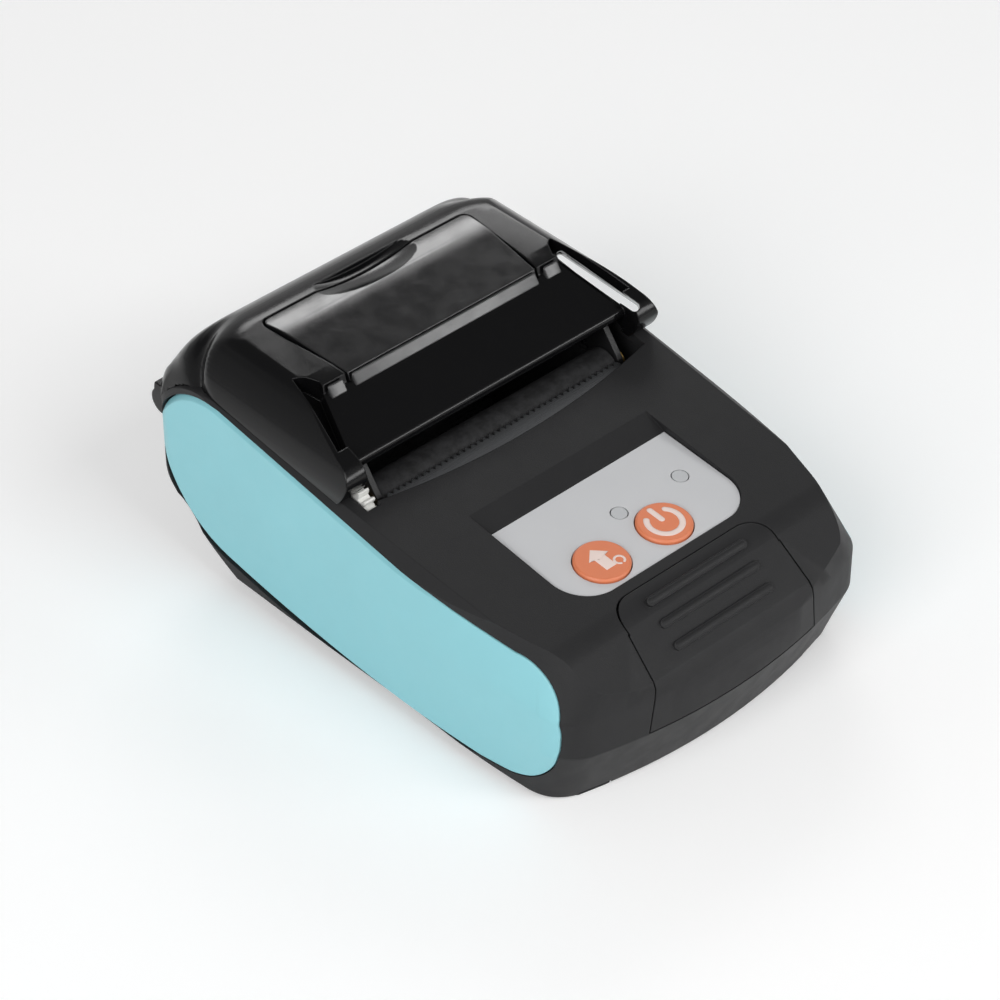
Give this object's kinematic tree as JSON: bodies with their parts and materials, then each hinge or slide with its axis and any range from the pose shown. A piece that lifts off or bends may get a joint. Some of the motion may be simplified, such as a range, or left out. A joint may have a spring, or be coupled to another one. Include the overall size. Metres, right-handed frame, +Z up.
{
  "type": "portable receipt printer",
  "caption": "Portable thermal receipt printer with turquoise sides, a hinged black lid that carries the platen roller, a tear bar, two push buttons and a battery door",
  "frame": {"origin": "on the table, under the middle of the printer's outline", "axes": "+Z up, -Y towards the front with the buttons, +X to the right seen from the front"},
  "size_m": [0.078, 0.116, 0.052],
  "materials": {
    "case_grey": "fine matt texture",
    "panel_turquoise": "satin",
    "label_silver": "satin film",
    "button_orange": "satin",
    "lamp_clear": "frosted",
    "lid_black": "polished",
    "carrier_black": "plain",
    "wrap_blue": "shrink film",
    "contact_brass": "plain",
    "board_green": "solder mask",
    "switch_black": "plain",
    "led_white": "plain",
    "steel": "plain",
    "head_aluminium": "plain",
    "head_ceramic": "glazed strip",
    "gear_white": "natural acetal",
    "platen_rubber": "ground",
    "foot_rubber": "plain"
  },
  "bodies": {
    "case": {"lower_case": "case_grey", "upper_case": "case_grey", "left_side_panel": "panel_turquoise", "right_side_panel": "panel_turquoise", "label_plate": "label_silver", "left_lamp_lens": "lamp_clear", "right_lamp_lens": "lamp_clear", "paper_sensor": "carrier_black", "battery_pack": "wrap_blue", "battery_contacts": "contact_brass", "main_board": "board_green", "feed_switch": "switch_black", "power_switch": "switch_black", "status_leds": "led_white", "usb_socket": "steel", "mechanism_frame": "steel", "head_springs": "steel", "tear_bar": "steel", "hinge_pin": "steel", "case_screws": "steel", "stepper_motor": "steel", "head_heatsink": "head_aluminium", "print_head": "head_ceramic", "rubber_feet": "foot_rubber"},
    "lid": {"lid_cover": "lid_black", "lid_inset_panel": "lid_black", "lid_platen_carrier": "carrier_black", "left_platen_bush": "contact_brass", "right_platen_bush": "contact_brass"},
    "platen": {"platen_roller": "platen_rubber", "platen_shaft": "steel", "platen_gear": "gear_white"},
    "idler": {"idler_gear": "gear_white"},
    "pinion": {"motor_pinion": "contact_brass", "motor_shaft": "steel"},
    "feed_key": {"feed_button": "button_orange"},
    "power_key": {"power_button": "button_orange"},
    "door": {"battery_door": "case_grey"}
  },
  "joints": [
    {"name": "lid_hinge", "type": "hinge", "parent": "case", "child": "lid", "pos_m": [0, 0.0553, 0.0314], "axis": [-1, 0, 0], "range_deg": [0, 95]},
    {"name": "platen_spin", "type": "hinge", "parent": "lid", "child": "platen", "pos_m": [0, 0.0066, 0.0321], "axis": [1, 0, 0], "continuous": true},
    {"name": "idler_spin", "type": "hinge", "parent": "case", "child": "idler", "pos_m": [-0.0334, 0.00901, 0.01912], "axis": [1, 0, 0], "continuous": true},
    {"name": "pinion_spin", "type": "hinge", "parent": "case", "child": "pinion", "pos_m": [-0.0334, 0.00052, 0.01613], "axis": [1, 0, 0], "continuous": true},
    {"name": "feed_press", "type": "slide", "parent": "case", "child": "feed_key", "axis": [0, 0.0726, -0.9974], "range_m": [0, 0.0005], "stiffness_N_per_m": 400},
    {"name": "power_press", "type": "slide", "parent": "case", "child": "power_key", "axis": [0, 0.0726, -0.9974], "range_m": [0, 0.0005], "stiffness_N_per_m": 400},
    {"name": "door_slide", "type": "slide", "parent": "case", "child": "door", "axis": [0, -1, 0], "range_m": [0, 0.012]}
  ],
  "couplings": [
    {"joint": "idler_spin", "follows": "platen_spin", "ratio": -1.2},
    {"joint": "pinion_spin", "follows": "platen_spin", "ratio": 2.4}
  ]
}
